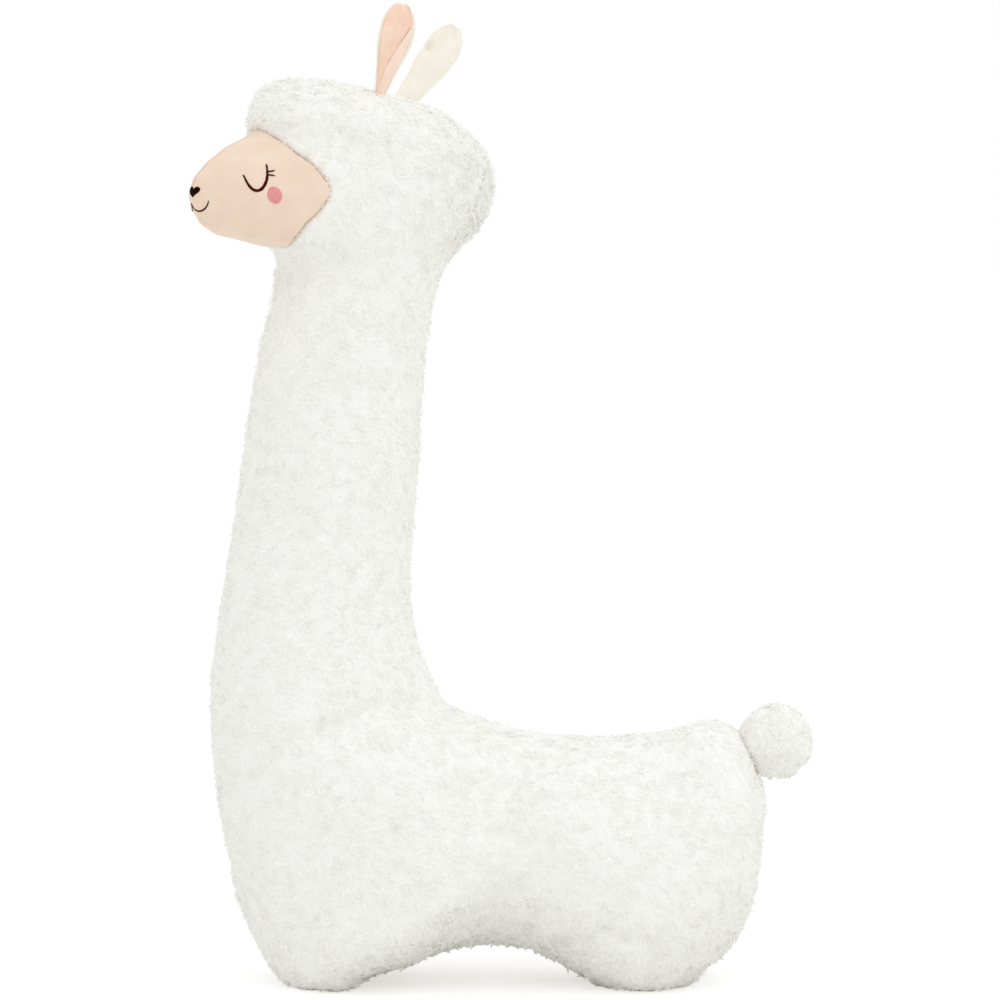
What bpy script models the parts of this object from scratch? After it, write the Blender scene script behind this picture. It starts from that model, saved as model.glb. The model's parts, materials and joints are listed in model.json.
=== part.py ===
# Standing plush alpaca: one stuffed fleece body, a velour face, two folded ears,
# a round tail and an embroidered eye, cheek, nose and mouth on each side of the face.
# Metres, +Z up. The alpaca looks along -X and stands on Z = 0. Its left side is at -Y.
import math

import bmesh
import bpy
from mathutils import Matrix, Vector
from mathutils.bvhtree import BVHTree

# Gap between pieces that are sewn face to face, and under the embroidery on the curved face.
seam_gap = 0.0003
thread_gap = 0.0005

# Middle of the head, and the rearmost point of the rump. The head is turned a little to its left.
head_x = -0.150
head_height = 0.790
head_turn = math.radians(28)
turn_start_height = 0.560
turn_end_height = 0.715
rump_x = 0.264
rump_height = 0.170

# The thickest half-widths of the stuffed body, across Y.
crest_half_width = 0.085
head_half_width = 0.092
neck_half_width = 0.078
chest_half_width = 0.113
waist_half_width = 0.109
rump_half_width = 0.110

# How a section fills out: under 1 it is pointed at its front or lower end, over 1 it is blunt there.
muzzle_fill = 0.80
round_fill = 1.0
foot_fill = 1.3

# Section mesh: points on half of each section, and how far they crowd to its front end.
half_section_points = 22
front_crowding = 1.25
rings_per_body_station = 2

# Creases pressed in the fleece: the waist between shoulder and haunch, and the base of the neck.
waist_crease_depth = 0.008
waist_crease_width = 0.036
neck_crease_depth = 0.006
neck_crease_width = 0.016

# Ears: a folded leaf of two cloth layers, with its root sewn into the head.
ear_length = 0.1045
ear_half_width = 0.0205
ear_root_half_width = 0.009
ear_tip_half_width = 0.006
ear_root_depth = 0.009
ear_cloth = 0.0018
ear_lining_cloth = 0.0014
ear_hem = 0.0025
ear_root_fold = math.radians(52)
ear_tip_fold = math.radians(16)
ear_crease_round = 0.0040
ear_pocket_clearance = 0.0004
left_ear_x = -0.115
left_ear_y = -0.034
left_ear_lean = math.radians(11.5)
right_ear_x = -0.098
right_ear_y = 0.034
right_ear_lean = math.radians(32)
ear_splay = math.radians(6)

# Tail: a stuffed ball sewn to the top of the rump.
tail_radius_along = 0.0325
tail_radius_up = 0.0350
tail_radius_across = 0.0320
tail_sunk = 0.0034
tail_above_rump = 0.0725

# Embroidery on the face, measured from the middle of the head. The eyes and cheeks are laid on from
# the side of the turned head, the nose and mouth from its front.
thread_height = 0.0009
eye_x = -0.1262
eye_z = 0.0318
eye_half_width = 0.0107
eye_half_height = 0.0255
eye_arc_degrees = 156
eye_stroke = 0.0029
eye_stroke_end = 0.0013
upper_lash_degrees = 15.5
lower_lash_degrees = 23.5
lash_length = 0.0042
lash_stroke = 0.0013
lash_clearance = 0.0003
cheek_x = -0.1112
cheek_z = 0.0019
cheek_half_width = 0.0063
cheek_half_height = 0.0084
cheek_tilt = math.radians(14)
nose_y = -0.0035
nose_z = 0.0042
nose_width = 0.0155
nose_height = 0.0110
mouth_lowest_y = 0.0075
mouth_lowest_z = -0.0142
mouth_inner_width = 0.0072
mouth_inner_height = 0.0075
mouth_outer_width = 0.0120
mouth_outer_height = 0.0125
mouth_corner_degrees = 170
mouth_stroke = 0.0015
mouth_stroke_end = 0.0010

fleece_white = (0.90, 0.90, 0.87)
face_peach = (0.86, 0.68, 0.55)
ear_cream = (0.91, 0.88, 0.80)
ear_peach = (0.90, 0.68, 0.54)
thread_brown = (0.05, 0.012, 0.010)
thread_pink = (0.75, 0.33, 0.33)

# Stations of the stuffed body, from the crown to the rump. Each is a flat section across the toy:
# its front or lower end (x, z), its rear or upper end (x, z), its half-width and its fill.
# The head's stations are measured from the middle of the head.
crown = (-0.030, 0.116)
head_stations = [
    ((-0.057, 0.115), (-0.002, 0.110), crest_half_width * 0.33, round_fill),
    ((-0.078, 0.108), (0.028, 0.098), crest_half_width * 0.62, round_fill),
    ((-0.091, 0.098), (0.058, 0.093), crest_half_width * 0.82, round_fill),
    ((-0.098, 0.086), (0.082, 0.084), crest_half_width * 0.94, round_fill),
    ((-0.101, 0.074), (0.101, 0.072), crest_half_width, round_fill),
    ((-0.098, 0.065), (0.115, 0.060), head_half_width * 0.96, 0.94),
    ((-0.1025, 0.058), (0.127, 0.047), head_half_width * 0.98, 0.86),
    ((-0.1225, 0.049), (0.136, 0.035), head_half_width * 0.99, muzzle_fill),
    ((-0.141, 0.035), (0.141, 0.023), head_half_width, muzzle_fill),
    ((-0.1525, 0.019), (0.143, 0.009), head_half_width, muzzle_fill),
    ((-0.1558, 0.003), (0.141, -0.005), head_half_width * 0.99, muzzle_fill),
    ((-0.1536, -0.0125), (0.136, -0.019), head_half_width * 0.97, muzzle_fill),
    ((-0.1460, -0.0272), (0.127, -0.034), head_half_width * 0.94, muzzle_fill),
    ((-0.1300, -0.0385), (0.113, -0.049), head_half_width * 0.90, 0.86),
    ((-0.1060, -0.0445), (0.100, -0.063), head_half_width * 0.87, 0.95),
    ((-0.0830, -0.0520), (0.091, -0.080), head_half_width * 0.85, 1.05),
    ((-0.0720, -0.0640), (0.086, -0.097), neck_half_width, 1.05),
]
front_stations = [
    ((-0.226, 0.690), (-0.069, 0.672), neck_half_width * 0.98, round_fill),
    ((-0.237, 0.645), (-0.074, 0.632), neck_half_width * 0.98, round_fill),
    ((-0.248, 0.590), (-0.078, 0.582), neck_half_width, round_fill),
    ((-0.257, 0.525), (-0.083, 0.522), neck_half_width * 1.02, round_fill),
    ((-0.268, 0.450), (-0.089, 0.455), neck_half_width * 1.05, round_fill),
    ((-0.280, 0.375), (-0.089, 0.392), neck_half_width * 1.09, round_fill),
    ((-0.288, 0.315), (-0.082, 0.342), chest_half_width * 0.80, round_fill),
    ((-0.290, 0.262), (-0.068, 0.308), chest_half_width * 0.86, round_fill),
    ((-0.285, 0.205), (-0.045, 0.281), chest_half_width * 0.92, round_fill),
    ((-0.275, 0.140), (-0.019, 0.265), chest_half_width * 0.97, round_fill),
    ((-0.261, 0.080), (0.006, 0.257), chest_half_width, round_fill),
    ((-0.239, 0.030), (0.025, 0.253), chest_half_width, 1.1),
    ((-0.207, -0.008), (0.040, 0.250), chest_half_width, foot_fill),
    ((-0.168, -0.016), (0.053, 0.248), chest_half_width * 0.99, foot_fill),
    ((-0.130, 0.000), (0.064, 0.247), chest_half_width * 0.985, 1.2),
    ((-0.092, 0.021), (0.075, 0.246), chest_half_width * 0.975, 1.1),
    ((-0.050, 0.037), (0.087, 0.245), waist_half_width, round_fill),
]
# The rear stations are measured from the rearmost point of the rump along X, and from the floor.
rear_stations = [
    ((-0.272, 0.041), (-0.164, 0.245), waist_half_width, round_fill),
    ((-0.232, 0.035), (-0.150, 0.246), waist_half_width, 1.1),
    ((-0.192, 0.016), (-0.133, 0.248), rump_half_width * 0.995, 1.2),
    ((-0.154, -0.006), (-0.114, 0.250), rump_half_width, foot_fill),
    ((-0.116, -0.016), (-0.096, 0.253), rump_half_width, foot_fill),
    ((-0.080, -0.006), (-0.077, 0.257), rump_half_width * 0.98, 1.2),
    ((-0.052, 0.014), (-0.059, 0.259), rump_half_width * 0.93, 1.1),
    ((-0.031, 0.040), (-0.042, 0.257), rump_half_width * 0.86, round_fill),
    ((-0.017, 0.071), (-0.026, 0.249), rump_half_width * 0.75, round_fill),
    ((-0.008, 0.104), (-0.014, 0.233), rump_half_width * 0.59, round_fill),
    ((-0.003, 0.135), (-0.006, 0.206), rump_half_width * 0.36, round_fill),
]

# The line where the velour face is sewn to the fleece, from brow to chin, seen from the side of the
# turned head and measured from its middle.
face_seam = [
    (-0.1027, 0.0665), (-0.0963, 0.0573), (-0.0880, 0.0440), (-0.0735, 0.0303), (-0.0654, 0.0176),
    (-0.0592, 0.0083), (-0.0626, -0.0025), (-0.0712, -0.0156), (-0.0790, -0.0235),
    (-0.0845, -0.0325), (-0.0885, -0.0410), (-0.0850, -0.0500), (-0.0780, -0.0580),
]
seam_curve_steps = 4
face_cut_reach = 0.30


def head_point(x, z):
    return (head_x + x, head_height + z)


def head_frame():
    """Placement of the turned head: its own -X runs through the snout."""
    return Matrix.Translation((head_x, 0, head_height)) @ Matrix.Rotation(head_turn, 4, "Z")


def rear_point(x, z):
    return (rump_x + x, z)


def smooth_between(before, start, end, after, t):
    """Catmull-Rom blend of four numbers."""
    return 0.5 * (
        2 * start
        + (end - before) * t
        + (2 * before - 5 * start + 4 * end - after) * t * t
        + (3 * start - 3 * end + after - before) * t * t * t
    )


def all_stations():
    """Every station as (front x, front z, rear x, rear z, half-width, fill), and its rings."""
    placed = []
    for front, rear, half_width, fill in head_stations:
        placed.append(((*head_point(*front), *head_point(*rear), half_width, fill), 1))
    for front, rear, half_width, fill in front_stations:
        placed.append(((*front, *rear, half_width, fill), rings_per_body_station))
    for front, rear, half_width, fill in rear_stations:
        placed.append(((*rear_point(*front), *rear_point(*rear), half_width, fill),
                       rings_per_body_station))
    return placed


def body_sections():
    """The stations with smooth ones added between them."""
    placed = all_stations()
    values = [station for station, _ in placed]
    sections = []
    for i, (station, rings) in enumerate(placed[:-1]):
        around = [values[max(i - 1, 0)], station, values[i + 1], values[min(i + 2, len(values) - 1)]]
        for step in range(rings):
            sections.append([smooth_between(*channel, step / rings) for channel in zip(*around)])
    sections.append(list(values[-1]))
    return sections


def crease_depth(x, z, start, end, depth, width):
    """Depth of a soft straight crease at a point of the side view."""
    line = Vector(end) - Vector(start)
    offset = Vector((x, z)) - Vector(start)
    along = max(0.0, min(1.0, offset.dot(line) / line.length_squared))
    away = (offset - line * along).length
    fade = math.sin(math.pi * (0.08 + 0.84 * along))
    return depth * fade * math.exp(-((away / width) ** 2))


def pressed_in(x, z):
    """How much narrower the creases make the body on each side."""
    waist_x = rump_x - 0.262
    waist = crease_depth(x, z, (waist_x - 0.010, 0.050), (waist_x + 0.018, 0.215),
                         waist_crease_depth, waist_crease_width)
    neck = crease_depth(x, z, (-0.185, 0.268), (-0.088, 0.302), neck_crease_depth,
                        neck_crease_width)
    return waist + neck


def section_point(section, around, side):
    """A point of a section: 0 is its front or lower end, pi its rear or upper end."""
    front_x, front_z, rear_x, rear_z, half_width, fill = section
    along = ((1 - math.cos(around)) / 2) ** fill
    x = front_x + (rear_x - front_x) * along
    z = front_z + (rear_z - front_z) * along
    across = half_width * math.sin(around)
    across = max(0.0, across - pressed_in(x, z) * math.sin(around) ** 2)
    return Vector((x, side * across, z))


def section_turn(section):
    """How far a section is turned with the head: not at all low on the neck."""
    height = (section[1] + section[3]) / 2
    share = (height - turn_start_height) / (turn_end_height - turn_start_height)
    share = max(0.0, min(1.0, share))
    return head_turn * share * share * (3 - 2 * share)


def turn_ring(section, left, right):
    """Turns a ring with the head. It is drawn out so that it still fills its measured outline."""
    angle = section_turn(section)
    if angle == 0:
        return
    ends = {"front": section[0] - head_x, "rear": section[2] - head_x}
    stretch = {"front": 1.0, "rear": 1.0}
    for _ in range(6):
        seen = []
        for point in left + right:
            out = point.x - head_x
            out *= stretch["front"] if out < 0 else stretch["rear"]
            seen.append(out * math.cos(angle) - point.y * math.sin(angle))
        stretch["front"] *= ends["front"] / min(seen)
        stretch["rear"] *= ends["rear"] / max(seen)
    for point in left + right:
        out = point.x - head_x
        out *= stretch["front"] if out < 0 else stretch["rear"]
        point.x = head_x + out * math.cos(angle) - point.y * math.sin(angle)
        point.y = out * math.sin(angle) + point.y * math.cos(angle)


def stuffed_form():
    """The closed stuffed shape of body and face together, flat where its feet stand on the floor."""
    turns = [math.pi * (i / half_section_points) ** front_crowding
             for i in range(half_section_points + 1)]
    form = bmesh.new()
    rings = []
    for section in body_sections():
        left = [section_point(section, turn, -1) for turn in turns]
        right = [section_point(section, turn, 1) for turn in reversed(turns[1:-1])]
        turn_ring(section, left, right)
        rings.append([form.verts.new(point) for point in left + right])
    for ring, following in zip(rings, rings[1:]):
        for i, corner in enumerate(ring):
            j = (i + 1) % len(ring)
            form.faces.new((corner, ring[j], following[j], following[i]))
    crown_x, crown_z = head_point(*crown)
    crown_y = (crown_x - head_x) * math.sin(head_turn)
    for pole, ring in ((Vector((crown_x, crown_y, crown_z)), rings[0]),
                       (Vector((rump_x, 0, rump_height)), rings[-1])):
        tip = form.verts.new(pole)
        for i, corner in enumerate(ring):
            form.faces.new((corner, ring[(i + 1) % len(ring)], tip))
    flatten_feet(form)
    bmesh.ops.recalc_face_normals(form, faces=form.faces)
    return form


def flatten_feet(form):
    """Cuts the form off at the floor and closes each foot with a flat sole."""
    everything = form.verts[:] + form.edges[:] + form.faces[:]
    bmesh.ops.bisect_plane(form, geom=everything, dist=1e-6, plane_co=(0, 0, 0),
                           plane_no=(0, 0, 1), clear_inner=True)
    rims = [edge for edge in form.edges if edge.is_boundary]
    bmesh.ops.holes_fill(form, edges=rims, sides=0)


def mesh_from(form, name, smooth_angle=None):
    mesh = bpy.data.meshes.new(name)
    form.to_mesh(mesh)
    if smooth_angle is not None:
        mesh.shade_smooth()
        mesh.set_sharp_from_angle(angle=smooth_angle)
    return mesh


def cloth_material(name, colour, roughness, sheen):
    material = bpy.data.materials.new(name)
    material.use_nodes = True
    surface = material.node_tree.nodes["Principled BSDF"]
    surface.inputs["Base Color"].default_value = (*colour, 1)
    surface.inputs["Roughness"].default_value = roughness
    surface.inputs["Metallic"].default_value = 0
    surface.inputs["Sheen Weight"].default_value = sheen
    material.diffuse_color = (*colour, 1)
    return material


def place(name, mesh, material):
    piece = bpy.data.objects.new(name, mesh)
    if not mesh.materials:
        mesh.materials.append(material)
    bpy.context.scene.collection.objects.link(piece)
    return piece


def place_helper(name, mesh):
    """A cutter, left out of the finished toy."""
    helper = bpy.data.objects.new(name, mesh)
    bpy.context.scene.collection.objects.link(helper)
    helper.hide_render = True
    helper.display_type = "WIRE"
    return helper


def cut(piece, helper, operation):
    boolean = piece.modifiers.new(helper.name, "BOOLEAN")
    boolean.operation = operation
    boolean.object = helper
    boolean.solver = "EXACT"
    return boolean


def grow(helper, distance):
    """Moves a helper's surface outwards."""
    swell = helper.modifiers.new("grow", "DISPLACE")
    swell.strength = distance
    swell.mid_level = 0
    return swell


# Face and its seam

def seam_line():
    """The face seam as a smooth line of (x, z) points."""
    points = face_seam
    line = []
    for i in range(len(points) - 1):
        around = [points[max(i - 1, 0)], points[i], points[i + 1],
                  points[min(i + 2, len(points) - 1)]]
        for step in range(seam_curve_steps):
            line.append(tuple(smooth_between(*channel, step / seam_curve_steps)
                              for channel in zip(*around)))
    line.append(points[-1])
    return line


def inset_line(line, distance):
    """The same line moved forwards, at right angles to itself."""
    moved = []
    for i, point in enumerate(line):
        before = Vector(line[max(i - 1, 0)])
        after = Vector(line[min(i + 1, len(line) - 1)])
        along = (after - before).normalized()
        moved.append((point[0] + along.y * distance, point[1] - along.x * distance))
    return moved


def face_prism(name, gap):
    """Everything in front of the face seam, from one side of the toy to the other."""
    line = inset_line(seam_line(), gap)
    front = -face_cut_reach
    outline = [(front, line[0][1])] + line + [(front, line[-1][1] - face_cut_reach / 6)]
    prism = bmesh.new()
    base = [prism.verts.new((x, -face_cut_reach, z)) for x, z in outline]
    side = prism.faces.new(base)
    far = bmesh.ops.extrude_face_region(prism, geom=[side])["geom"]
    moved = [part for part in far if isinstance(part, bmesh.types.BMVert)]
    bmesh.ops.translate(prism, verts=moved, vec=(0, 2 * face_cut_reach, 0))
    bmesh.ops.recalc_face_normals(prism, faces=prism.faces)
    helper = place_helper(name, mesh_from(prism, name))
    helper.matrix_world = head_frame()
    return helper


# Ears

def ear_outline(up):
    """Half-width of the flat ear at a share of its length: a leaf, widest above its middle."""
    leaf = math.sin(math.pi * min(1.0, up) ** 1.9) ** 0.75 if 0 < up < 1 else 0.0
    ends = ear_root_half_width * (1 - up) + ear_tip_half_width * up
    return ends + (ear_half_width - ends) * leaf


def ear_point(up, across, side):
    """A point of the folded ear, at a share of its length and a share of its half-width."""
    share = max(up, 0.0)
    half = ear_outline(share)
    crease = half * (-0.05 + 0.70 * share)
    fold = ear_root_fold + (ear_tip_fold - ear_root_fold) * share
    away = half * across - crease
    rise = math.hypot(away, ear_crease_round) - ear_crease_round
    return Vector((crease + away * math.cos(fold), side * rise * math.sin(fold), up * ear_length))


def ear_surface(name, side, lining=False, extra=0.0):
    """The folded ear as a single surface, upright, root at the origin, open towards one side."""
    hem_up = ear_hem / ear_length
    ups = [-extra / ear_length] + [i / 11 * (1 - hem_up) for i in range(1, 12)] + [1 + extra]
    hem_across = ear_hem / ear_half_width
    inner = 1 - hem_across
    acrosses = [-1.0] + [inner * (i / 4 - 1) for i in range(9)] + [1.0]
    if lining:
        ups, acrosses = ups[:-1], acrosses[1:-1]
    form = bmesh.new()
    grid = []
    for up in ups:
        widened = 1 + extra / max(ear_outline(min(max(up, 0.0), 1.0)), 0.001)
        grid.append([form.verts.new(ear_point(min(up, 1 + hem_up), across * widened, side))
                     for across in acrosses])
    for lower, upper in zip(grid, grid[1:]):
        for i in range(len(acrosses) - 1):
            corners = (lower[i], lower[i + 1], upper[i + 1], upper[i])
            form.faces.new(corners if side < 0 else corners[::-1])
    form.normal_update()
    return mesh_from(form, name, math.radians(60))


def thicken(piece, low, high):
    """Gives a surface its cloth thickness, from low to high above it along its normals."""
    cloth = piece.modifiers.new("cloth", "SOLIDIFY")
    cloth.thickness = high - low
    cloth.offset = (high + low) / (high - low)
    cloth.use_even_offset = False
    return cloth


def ear_placement(ear_x, ear_y, lean, side, surface):
    """Where the ear's root goes: sunk into the head, leaning back and splayed to its side."""
    hit, _, _, _ = surface.ray_cast(Vector((ear_x, ear_y, head_height + face_cut_reach)),
                                    Vector((0, 0, -1)))
    turn = Matrix.Rotation(lean, 4, "Y") @ Matrix.Rotation(-side * ear_splay, 4, "X")
    root = hit - turn @ Vector((0, 0, ear_root_depth))
    return Matrix.Translation(root) @ turn


def make_ear(label, side, placement, cream, peach, body):
    """A cream back, a peach lining on its open side, and the pocket that the head gives them."""
    half_gap = seam_gap / 2
    back = place(label + "_ear_back", ear_surface(label + "_ear_back", side), cream)
    thicken(back, -ear_cloth - half_gap, -half_gap)
    lining = place(label + "_ear_lining",
                   ear_surface(label + "_ear_lining", side, lining=True), peach)
    thicken(lining, half_gap, half_gap + ear_lining_cloth)
    pocket = place_helper(label + "_ear_pocket",
                          ear_surface(label + "_ear_pocket", side, extra=ear_pocket_clearance))
    thicken(pocket, -ear_cloth - half_gap - ear_pocket_clearance,
            half_gap + ear_lining_cloth + ear_pocket_clearance)
    for piece in (back, lining, pocket):
        piece.matrix_world = placement
    cut(body, pocket, "DIFFERENCE")


# Tail

def make_tail(material, body_form):
    """A ball trimmed where it lies against the rump."""
    ball = bmesh.new()
    bmesh.ops.create_uvsphere(ball, u_segments=24, v_segments=14, radius=1)
    bmesh.ops.scale(ball, vec=(tail_radius_along, tail_radius_across, tail_radius_up),
                    verts=ball.verts)
    tail = place("tail", mesh_from(ball, "tail", math.radians(40)), material)
    height = rump_height + tail_above_rump
    hit, _, _, _ = BVHTree.FromBMesh(body_form).ray_cast(
        Vector((rump_x + face_cut_reach, 0, height)), Vector((-1, 0, 0)))
    tail.location = (hit.x + tail_radius_along - tail_sunk, 0, height)
    grown = place_helper("rump_seat", mesh_from(body_form, "rump_seat"))
    grow(grown, seam_gap)
    cut(tail, grown, "DIFFERENCE")


# Embroidery

class Cloth:
    """The sewn surface, which embroidery is laid on from one side or from the front of the head."""

    def __init__(self, form):
        form.verts.ensure_lookup_table()
        form.faces.ensure_lookup_table()
        self.form = form
        self.tree = BVHTree.FromBMesh(form)
        self.start = Vector((0, 0, 0))
        self.across = Vector((1, 0, 0))
        self.into = Vector((0, 1, 0))

    def seen_from(self, start, across, into):
        self.start, self.across, self.into = Vector(start), Vector(across), Vector(into)
        return self

    def point(self, across, up, height):
        """A point above the cloth at two distances from the middle of the head."""
        frame = head_frame()
        origin = frame @ (self.start + self.across * across + Vector((0, 0, up)))
        hit, _, index, _ = self.tree.ray_cast(origin, frame.to_3x3() @ self.into)
        return hit + self.smooth_normal(index, hit) * height

    def smooth_normal(self, index, hit):
        corners = self.form.faces[index].verts
        weights = [1 / max((corner.co - hit).length, 1e-5) ** 2 for corner in corners]
        total = Vector((0, 0, 0))
        for corner, weight in zip(corners, weights):
            total += corner.normal * weight
        return total.normalized()


def stitched_line(name, path, strokes, cloth, material):
    """A satin-stitched line along a path, with its width at each point."""
    line = bmesh.new()
    rings = []
    base, top = thread_gap, thread_gap + thread_height
    for i, (point, stroke) in enumerate(zip(path, strokes)):
        before = Vector(path[max(i - 1, 0)])
        after = Vector(path[min(i + 1, len(path) - 1)])
        along = (after - before).normalized()
        out = Vector((-along.y, along.x)) * stroke / 2
        one, other = Vector(point) + out, Vector(point) - out
        ring = [cloth.point(one.x, one.y, base),
                cloth.point(other.x, other.y, base),
                cloth.point(other.x, other.y, (base + top) / 2),
                cloth.point(point[0], point[1], top),
                cloth.point(one.x, one.y, (base + top) / 2)]
        rings.append([line.verts.new(corner) for corner in ring])
    for ring, following in zip(rings, rings[1:]):
        for i, corner in enumerate(ring):
            j = (i + 1) % len(ring)
            line.faces.new((corner, ring[j], following[j], following[i]))
    line.faces.new(rings[0])
    line.faces.new(rings[-1])
    bmesh.ops.recalc_face_normals(line, faces=line.faces)
    place(name, mesh_from(line, name, math.radians(50)), material)


def stitched_patch(name, outline, cloth, material):
    """A satin-stitched field inside an outline."""
    patch = bmesh.new()
    middle = Vector((sum(x for x, _ in outline), sum(z for _, z in outline))) / len(outline)
    base, top = thread_gap, thread_gap + thread_height
    levels = [(0.35, base), (0.7, base), (1.0, base), (1.0, (base + top) / 2), (0.8, top), (0.4, top)]
    rings = []
    for share, height in levels:
        ring = []
        for point in outline:
            inner = middle + (Vector(point) - middle) * share
            ring.append(patch.verts.new(cloth.point(inner.x, inner.y, height)))
        rings.append(ring)
    for ring, following in zip(rings, rings[1:]):
        for i, corner in enumerate(ring):
            j = (i + 1) % len(ring)
            patch.faces.new((corner, ring[j], following[j], following[i]))
    for ring, height in ((rings[0], base), (rings[-1], top)):
        centre = patch.verts.new(cloth.point(middle.x, middle.y, height))
        for i, corner in enumerate(ring):
            patch.faces.new((corner, ring[(i + 1) % len(ring)], centre))
    bmesh.ops.recalc_face_normals(patch, faces=patch.faces)
    place(name, mesh_from(patch, name, math.radians(50)), material)


def arc_path(middle, half_width, half_height, first, last, count):
    """Points of an elliptical arc. Angles are in degrees, from the rear and downwards."""
    angles = [math.radians(first + (last - first) * i / (count - 1)) for i in range(count)]
    return [(middle[0] + half_width * math.cos(a), middle[1] - half_height * math.sin(a))
            for a in angles]


def tapered(widest, end, count):
    return [end + (widest - end) * math.sin(math.pi * i / (count - 1)) ** 0.8
            for i in range(count)]


def oval(middle, half_width, half_height, tilt, count):
    points = []
    for i in range(count):
        turn = 2 * math.pi * i / count
        x, z = half_width * math.cos(turn), half_height * math.sin(turn)
        points.append((middle[0] + x * math.cos(tilt) - z * math.sin(tilt),
                       middle[1] + x * math.sin(tilt) + z * math.cos(tilt)))
    return points


def heart(middle, width, height, count):
    """The classic heart curve."""
    points = []
    for i in range(count):
        turn = 2 * math.pi * i / count
        z = (13 * math.cos(turn) - 5 * math.cos(2 * turn) - 2 * math.cos(3 * turn)
             - math.cos(4 * turn) + 2.5) / 29 * height
        points.append((middle[0] + math.sin(turn) ** 3 * width / 2, middle[1] + z))
    return points


def smile(side):
    """One side of the mouth: a small arc down from under the nose, then a wider one to its corner."""
    inner = arc_path((mouth_lowest_y, mouth_lowest_z + mouth_inner_height), -mouth_inner_width,
                     mouth_inner_height, 0, 90, 8)
    outer = arc_path((mouth_lowest_y, mouth_lowest_z + mouth_outer_height), -mouth_outer_width,
                     mouth_outer_height, 90, mouth_corner_degrees, 10)
    return [(side * across, up) for across, up in inner + outer[1:]]


def embroider_side(label, side, cloth, brown, pink):
    """Closed eye, two lashes and a cheek, on one side of the head."""
    cloth.seen_from((0, side * face_cut_reach, 0), (1, 0, 0), (0, -side, 0))
    lid = arc_path((eye_x, eye_z), eye_half_width, eye_half_height, 0, eye_arc_degrees, 21)
    stitched_line(label + "_eyelid", lid, tapered(eye_stroke, eye_stroke_end, 21), cloth, brown)
    for word, angle, rise in (("upper", upper_lash_degrees, 0.0010), ("lower", lower_lash_degrees, -0.0010)):
        start = arc_path((eye_x, eye_z), eye_half_width, eye_half_height, angle, angle + 1, 2)[0]
        root = start[0] + eye_stroke / 2 + lash_clearance
        lash = [(root + lash_length * share, start[1] + rise * share ** 2)
                for share in (0, 0.25, 0.5, 0.75, 1)]
        stitched_line(f"{label}_{word}_lash", lash, [lash_stroke] * 4 + [lash_stroke / 2], cloth,
                      brown)
    cheek = oval((cheek_x, cheek_z), cheek_half_width, cheek_half_height, cheek_tilt, 24)
    stitched_patch(label + "_cheek", cheek, cloth, pink)


def embroider_front(cloth, brown):
    """Heart nose and a smile of two sides that meet under it."""
    cloth.seen_from((-face_cut_reach, 0, 0), (0, 1, 0), (1, 0, 0))
    stitched_patch("nose", heart((nose_y, nose_z), nose_width, nose_height, 28), cloth, brown)
    right = smile(1)[::-1]
    left = smile(-1)
    widths = tapered(mouth_stroke, mouth_stroke_end, len(left))
    stitched_line("mouth", right + left, widths + widths, cloth, brown)


def build():
    for old in list(bpy.data.objects):
        bpy.data.objects.remove(old)
    fleece = cloth_material("white_fleece", fleece_white, 0.95, 0.4)
    velour = cloth_material("peach_velour", face_peach, 0.85, 0.3)
    cream = cloth_material("cream_velour", ear_cream, 0.85, 0.3)
    peach = cloth_material("ear_lining_velour", ear_peach, 0.85, 0.3)
    brown = cloth_material("brown_thread", thread_brown, 0.5, 0.1)
    pink = cloth_material("pink_thread", thread_pink, 0.5, 0.1)

    form = stuffed_form()
    cloth = Cloth(form)
    body = place("body", mesh_from(form, "body", math.radians(40)), fleece)
    cut(body, face_prism("face_opening", 0.0), "DIFFERENCE")
    face = place("face", mesh_from(form, "face", math.radians(40)), velour)
    cut(face, face_prism("face_panel", seam_gap), "INTERSECT")
    make_tail(fleece, form)
    for label, side, x, y, lean in (("left", -1, left_ear_x, left_ear_y, left_ear_lean),
                                    ("right", 1, right_ear_x, right_ear_y, right_ear_lean)):
        make_ear(label, side, ear_placement(x, y, lean, side, cloth.tree), cream, peach, body)
        embroider_side(label, side, cloth, brown, pink)
    embroider_front(cloth, brown)


build()
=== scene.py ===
import json
import math

import bmesh
import bpy
import numpy as np
from mathutils import Matrix, Vector
from mathutils.bvhtree import BVHTree

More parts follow.
